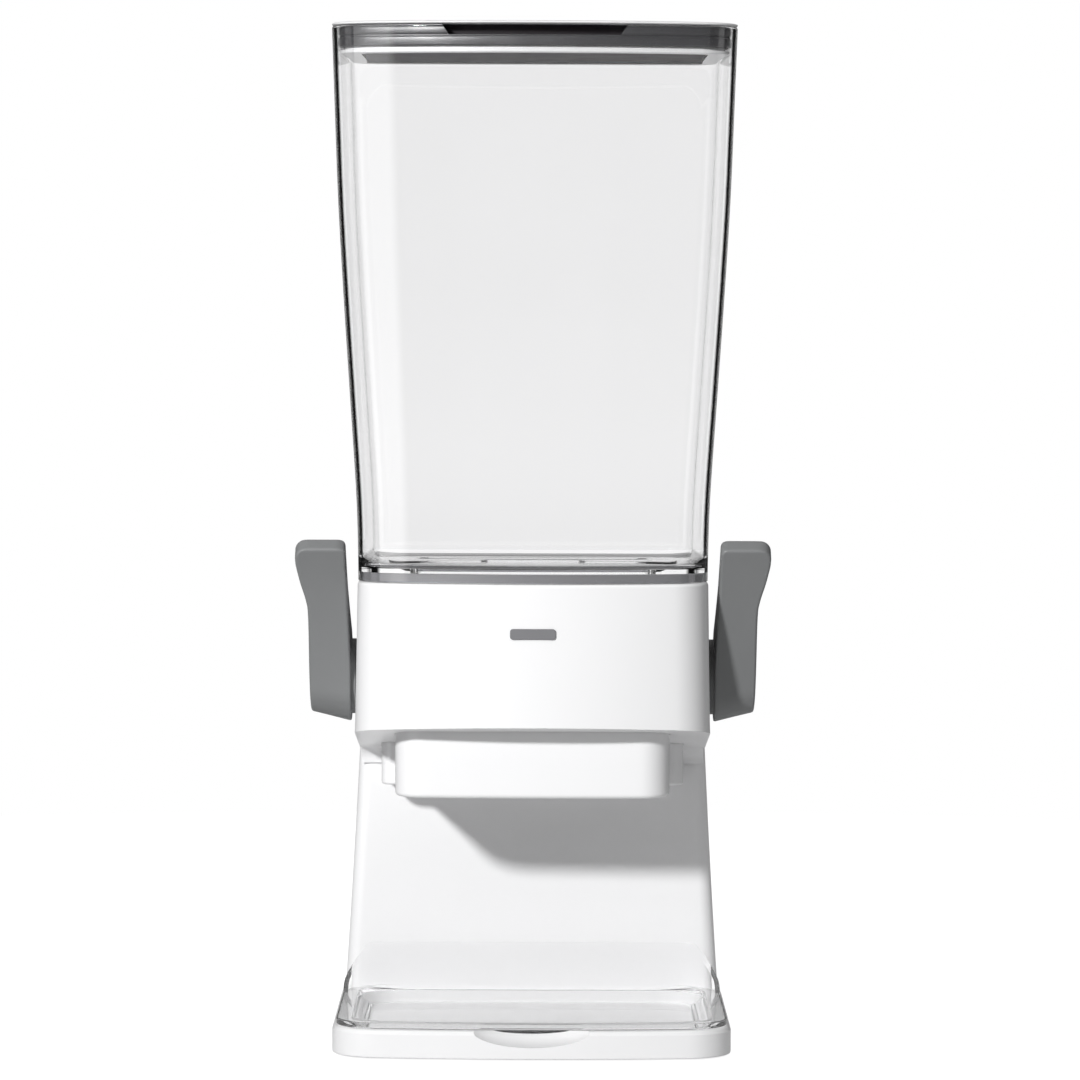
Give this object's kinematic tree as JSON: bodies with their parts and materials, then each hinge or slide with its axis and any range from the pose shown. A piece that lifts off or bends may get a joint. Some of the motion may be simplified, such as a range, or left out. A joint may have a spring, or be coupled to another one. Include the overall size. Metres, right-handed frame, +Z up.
{
  "type": "cereal dispenser",
  "caption": "Countertop dry-food dispenser: clear lidded hopper on a C-shaped stand, paddle wheel turned by side levers, spout above a lift-off crumb tray.",
  "frame": {"origin": "middle of the bounding box's bottom face, on the surface the feet stand on", "axes": "+Z up through the hopper; front (spout and finger notch side) towards -Y; +X to the right of a person facing the front; the levers turn about X"},
  "size_m": [0.2312, 0.186, 0.4978],
  "materials": {
    "white_plastic": "satin white moulded plastic",
    "inner_plastic": "fine matte grey-white moulding",
    "clear_plastic": "polished clear plastic",
    "grip": "soft-touch grey grip",
    "lid_seal": "dark silicone seal",
    "seat_seal": "mid-grey silicone ring",
    "paddle": "flexible grey silicone",
    "smoke_plastic": "dark smoke-grey plastic",
    "foot_rubber": "black rubber",
    "screw_steel": "plain zinc-plated screw"
  },
  "bodies": {
    "stand": {"base_plate": "inner_plastic", "base_screw_1": "screw_steel", "base_screw_2": "screw_steel", "base_screw_3": "screw_steel", "base_screw_4": "screw_steel", "base_shell": "white_plastic", "column_screw_left": "screw_steel", "column_screw_right": "screw_steel", "column_shell": "white_plastic", "cover_screw_1": "screw_steel", "cover_screw_2": "screw_steel", "cover_screw_3": "screw_steel", "cover_screw_4": "screw_steel", "foot_1": "foot_rubber", "foot_2": "foot_rubber", "foot_3": "foot_rubber", "foot_4": "foot_rubber", "front_plate": "inner_plastic", "head_housing": "white_plastic", "hopper_seat_ring": "seat_seal", "left_bush": "inner_plastic", "rear_cover": "white_plastic", "right_bush": "inner_plastic", "rotor_chamber": "inner_plastic", "spout": "white_plastic"},
    "rotor": {"drive_shaft": "inner_plastic", "paddle_wheel": "paddle", "left_handle": "grip", "right_handle": "grip", "left_handle_screw": "screw_steel", "right_handle_screw": "screw_steel", "left_hub_cap": "grip", "right_hub_cap": "grip"},
    "hopper": {"hopper": "clear_plastic"},
    "lid": {"lid_top_plate": "white_plastic", "lid_frame": "white_plastic", "lid_inner_plate": "smoke_plastic", "lid_gasket": "lid_seal"},
    "tray": {"crumb_tray": "clear_plastic"}
  },
  "joints": [
    {"name": "handle_turn", "type": "hinge", "parent": "stand", "child": "rotor", "pos_m": [0, 0.004, 0.178], "axis": [1, 0, 0], "continuous": true},
    {"name": "hopper_lift", "type": "slide", "parent": "stand", "child": "hopper", "axis": [0, 0, 1], "range_m": [0, 0.06]},
    {"name": "lid_lift", "type": "slide", "parent": "hopper", "child": "lid", "axis": [0, 0, 1], "range_m": [0, 0.05]},
    {"name": "tray_lift", "type": "slide", "parent": "stand", "child": "tray", "axis": [0, 0, 1], "range_m": [0, 0.04]}
  ]
}
